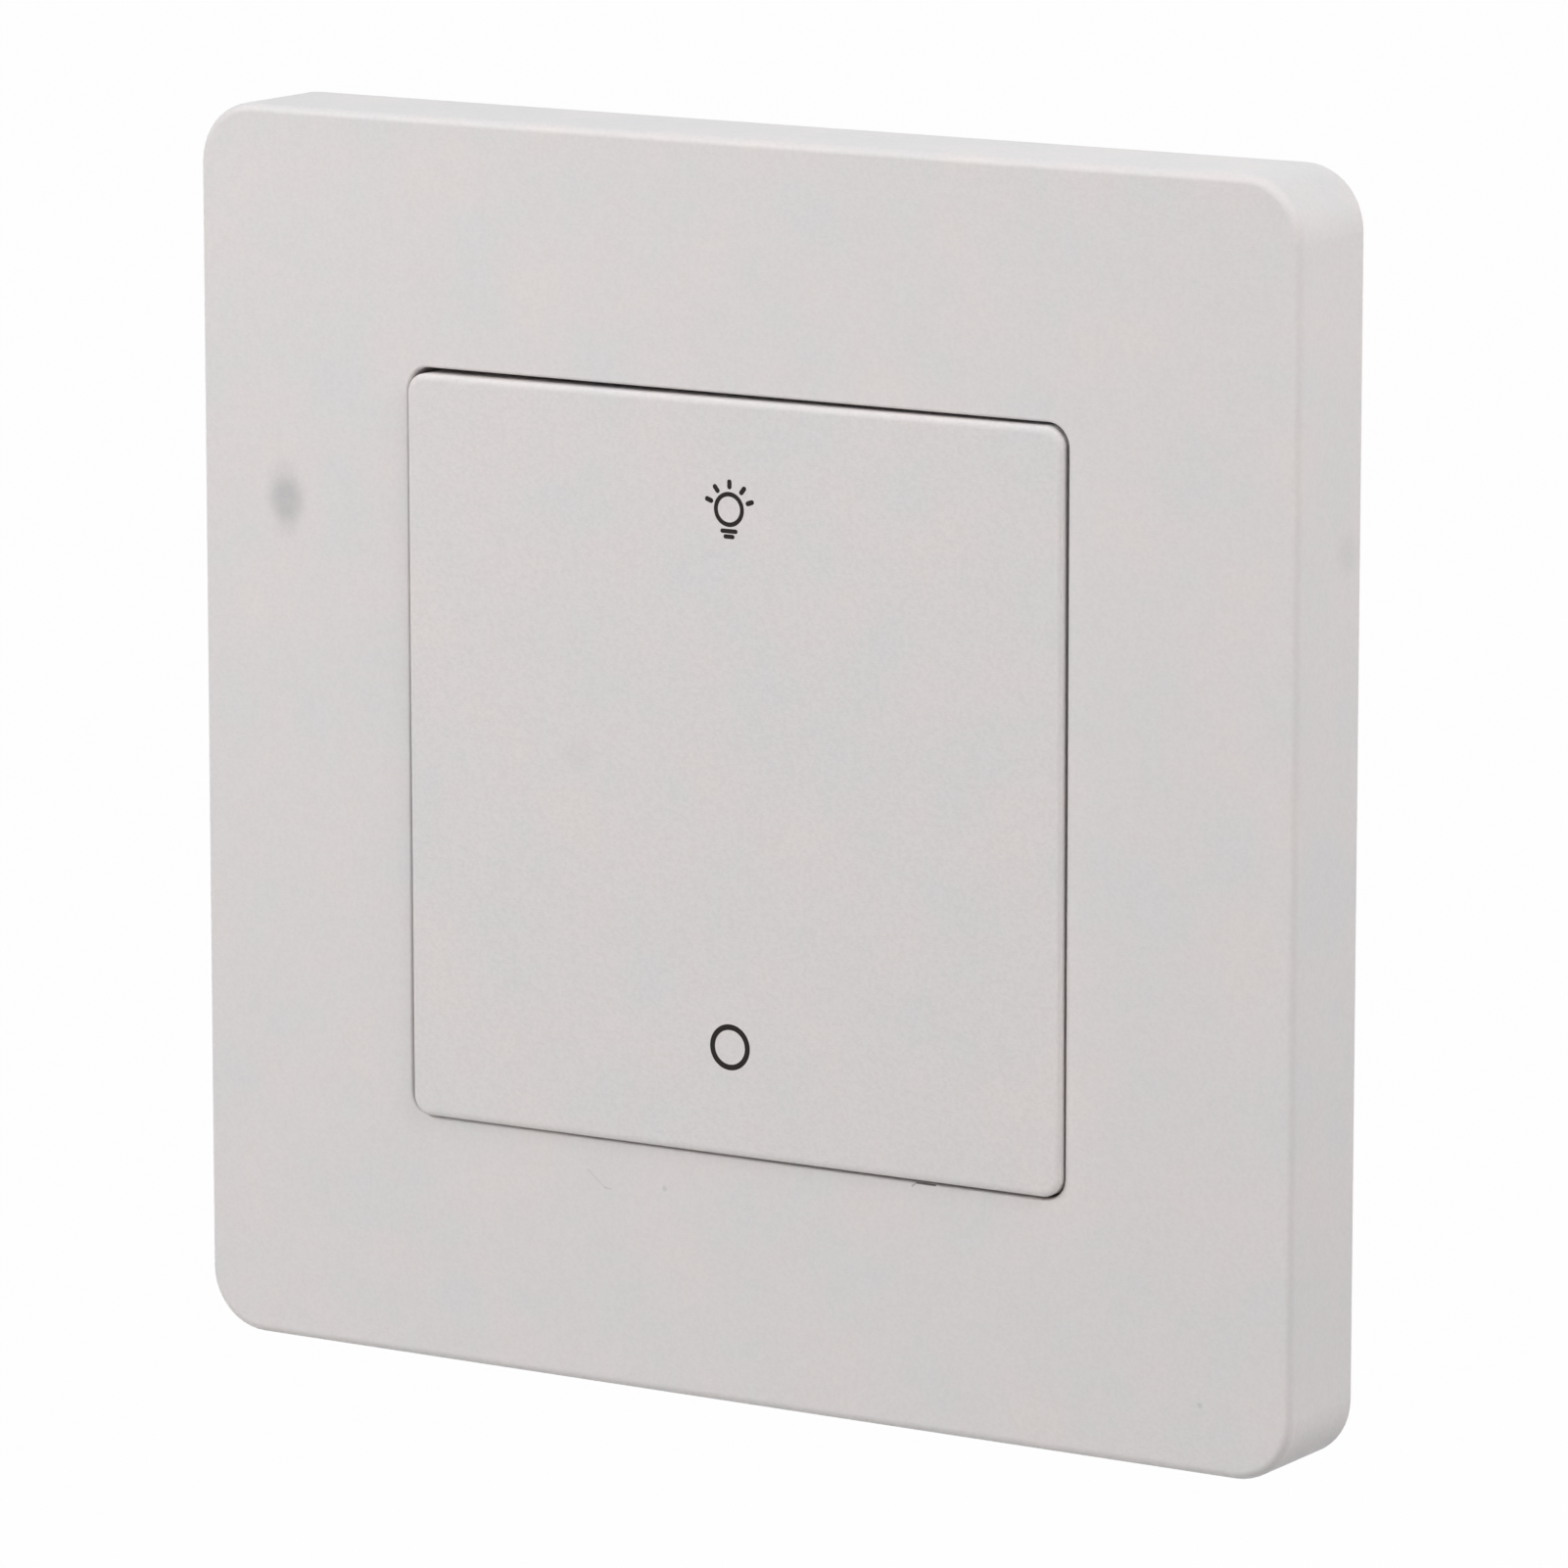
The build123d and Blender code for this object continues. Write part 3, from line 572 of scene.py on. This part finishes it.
def seated_rocker():
    """The cap with its front edge drawn flatter, turned about its middle."""
    solid = frame["nodes"]["rocker_cap"].data
    mesh = solid.copy()
    edge_depth = (EDGE_WIDTH + EDGE_MARGIN) * MM
    in_edge = [v.co.y - rocker_low.y <= edge_depth for v in mesh.vertices]
    normals = []
    for loop, corner in zip(solid.loops, solid.corner_normals):
        normal = corner.vector.copy()
        if in_edge[loop.vertex_index]:
            normal = normal * Vector((EDGE_DEPTH_SHARE, 1.0, EDGE_DEPTH_SHARE))
        normals.append(rocker_turn @ normal.normalized())
    for vertex, moves in zip(mesh.vertices, in_edge):
        if moves:
            vertex.co.y = rocker_low.y + (vertex.co.y - rocker_low.y) * EDGE_DEPTH_SHARE
    mesh.transform(rocker_seat)
    mesh.normals_split_custom_set(normals)
    cap = bpy.data.objects.new("seated_rocker", mesh)
    bpy.context.scene.collection.objects.link(cap)
    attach(cap, "rocker")
    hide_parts("rocker_cap")


# Printed signs: thin closed shapes on the rocker's face
def ring_outline(radius, stroke, x, z):
    """Outer and inner circle of a ring about a point."""
    angles = [2 * pi * i / CIRCLE_STEPS for i in range(CIRCLE_STEPS)]
    return [[(x + r * cos(a), z + r * sin(a)) for a in angles] for r in (radius, radius - stroke)]


def bar_outline(x, z, angle, length, width):
    """Bar with round ends about a middle point, turned by angle."""
    half = (length - width) / 2
    corners = []
    for end in (0, 1):
        for i in range(BAR_END_STEPS + 1):
            a = pi * (i / BAR_END_STEPS - 0.5) + pi * end
            px = half * (1 - 2 * end) + width / 2 * cos(a)
            pz = width / 2 * sin(a)
            corners.append((x + px * cos(angle) - pz * sin(angle), z + px * sin(angle) + pz * cos(angle)))
    return corners


def printed_sign(name, rings, bars):
    """One piece of ink made of rings and bars, seated as the rocker is."""
    front = rocker_low.y - INK_THICKNESS * MM
    back = rocker_low.y + INK_SUNK * MM
    mesh = bmesh.new()

    def loop(points, y):
        return [mesh.verts.new(rocker_seat @ Vector((MM * px, y, MM * pz))) for px, pz in points]

    def band(first, second):
        for i in range(len(first)):
            j = (i + 1) % len(first)
            mesh.faces.new((first[i], first[j], second[j], second[i]))

    for outer, inner in rings:
        outer_front, outer_back = loop(outer, front), loop(outer, back)
        inner_front, inner_back = loop(inner, front), loop(inner, back)
        band(outer_front, inner_front)
        band(inner_front, inner_back)
        band(inner_back, outer_back)
        band(outer_back, outer_front)
    for outline in bars:
        near, far = loop(outline, front), loop(outline, back)
        mesh.faces.new(near)
        mesh.faces.new(far[::-1])
        band(near, far)
    bmesh.ops.recalc_face_normals(mesh, faces=mesh.faces)
    data = bpy.data.meshes.new(name)
    mesh.to_mesh(data)
    mesh.free()
    sign = bpy.data.objects.new(name, data)
    bpy.context.scene.collection.objects.link(sign)
    data.materials.append(finishes["sign_ink"].material)
    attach(sign, "rocker")


def bulb_sign():
    """The sign for on: a bulb with rays round its top and two bars for its base."""
    bars = []
    for degrees in RAY_ANGLES:
        turn = radians(degrees)
        ray_x = RAYS_ACROSS + RAY_RADIUS * cos(turn)
        ray_z = BULB_HEIGHT + RAY_RADIUS * sin(turn)
        bars.append(bar_outline(ray_x, ray_z, turn, RAY_LENGTH, RAY_WIDTH))
    for rise, length in BASE_BARS:
        bars.append(bar_outline(BULB_ACROSS, BULB_HEIGHT + rise, 0, length, BASE_BAR_WIDTH))
    bulb = ring_outline(BULB_DIAMETER / 2, BULB_STROKE, BULB_ACROSS, BULB_HEIGHT)
    printed_sign("bulb_sign", [bulb], bars)


def ring_sign():
    """The sign for off: a plain ring."""
    ring = ring_outline(RING_DIAMETER / 2, RING_STROKE, RING_ACROSS, RING_HEIGHT)
    printed_sign("ring_sign", [ring], [])


seated_rocker()
bulb_sign()
ring_sign()


# Studio: white surroundings and four soft lamps, the rear one low enough to leave the top face alone
def seen_directly(finish):
    """1 for rays from the camera, from gloss and through glass."""
    kinds = ("Is Camera Ray", "Is Glossy Ray", "Is Transmission Ray")
    camera, gloss, glass = (finish.node("ShaderNodeLightPath", output=kind) for kind in kinds)
    return (camera + gloss + glass).limited()


def white_floor():
    """White floor with one face, clear from below so that the underside of the object can be seen."""
    bpy.ops.mesh.primitive_plane_add(size=FLOOR_SIZE, location=(0, 0, -FLOOR_DROP))
    floor = bpy.context.object
    floor.name = "studio_floor"
    finish = Finish("studio_floor", Base_Color=FLOOR_TONE, Roughness=FLOOR_ROUGHNESS)
    lit = Value(finish, finish.shader.outputs[0])
    glow = finish.node("ShaderNodeEmission", sockets={"Color": WHITE, "Strength": 1.0})
    seen = seen_directly(finish) * FLOOR_WHITE_SHARE
    upper = finish.node("ShaderNodeMixShader", sockets={0: seen, 1: lit, 2: glow})
    below = finish.node("ShaderNodeNewGeometry", output="Backfacing")
    clear = finish.node("ShaderNodeBsdfTransparent")
    one_sided = finish.node("ShaderNodeMixShader", sockets={0: below, 1: upper, 2: clear})
    finish.feed(finish.tree.nodes["Material Output"].inputs["Surface"], one_sided)
    floor.data.materials.append(finish.material)


class WorldFinish(Finish):
    """The world's nodes, with the same methods as a material."""

    def __init__(self):
        world = bpy.data.worlds.new("studio_world")
        world.use_nodes = True
        bpy.context.scene.world = world
        self.tree = world.node_tree
        self.shader = self.tree.nodes["Background"]


def white_world():
    """White where it shows; as light, a dim room with a bright backdrop and a cooler ceiling."""
    world = WorldFinish()
    direction = world.node("ShaderNodeTexCoord", output="Generated")
    behind = world.vector("DOT_PRODUCT", direction, BACKWARD, output="Value").math("MAXIMUM", 0.0)
    overhead = world.vector("DOT_PRODUCT", direction, UPWARD, output="Value").math("MAXIMUM", 0.0)
    level = ROOM_LEVEL + behind * BACKDROP_LEVEL
    seen = seen_directly(world)
    unseen = 1 - seen
    world.set("Color", world.mix(overhead * overhead * unseen, WHITE, OVERHEAD_TONE))
    world.set("Strength", level * unseen + seen)


def soft_lamp(name, place, size, power, tone=WHITE):
    """Rectangular lamp that faces the middle of the plate."""
    lamp = bpy.data.lights.new(name, "AREA")
    lamp.shape = "RECTANGLE"
    lamp.size, lamp.size_y = size
    lamp.energy = power
    lamp.color = tone
    holder = bpy.data.objects.new(name, lamp)
    bpy.context.scene.collection.objects.link(holder)
    holder.location = place
    holder.rotation_euler = (-Vector(place)).to_track_quat("-Z", "Y").to_euler()


white_floor()
white_world()
soft_lamp("key_lamp", KEY_PLACE, KEY_SIZE, KEY_POWER)
soft_lamp("side_lamp", SIDE_PLACE, SIDE_SIZE, SIDE_POWER, SIDE_TONE)
soft_lamp("low_fill", LOW_PLACE, LOW_SIZE, LOW_POWER, LOW_TONE)
soft_lamp("rear_fill", REAR_PLACE, REAR_SIZE, REAR_POWER, REAR_TONE)


# Camera
def photo_camera():
    """Camera at the photograph's place, aimed at the middle of the plate, with the same framing."""
    azimuth = radians(CAMERA_AZIMUTH)
    elevation = radians(CAMERA_ELEVATION)
    back = Vector((sin(azimuth) * cos(elevation), -cos(azimuth) * cos(elevation), sin(elevation)))
    right = Vector((cos(azimuth), sin(azimuth), 0.0))
    up = back.cross(right)
    data = bpy.data.cameras.new("photo_camera")
    data.sensor_width = SENSOR_WIDTH
    data.lens = FOCAL_PIXELS / IMAGE_SIDE * SENSOR_WIDTH
    data.shift_x = -CENTRE_RIGHT_PIXELS / IMAGE_SIDE
    data.shift_y = -CENTRE_UP_PIXELS / IMAGE_SIDE
    camera = bpy.data.objects.new("photo_camera", data)
    bpy.context.scene.collection.objects.link(camera)
    turned = Matrix((right, up, back)).transposed().to_4x4() @ Matrix.Rotation(radians(CAMERA_ROLL), 4, "Z")
    camera.matrix_world = Matrix.Translation(back * CAMERA_DISTANCE) @ turned
    bpy.context.scene.camera = camera


photo_camera()
bpy.context.scene.view_settings.view_transform = "Standard"
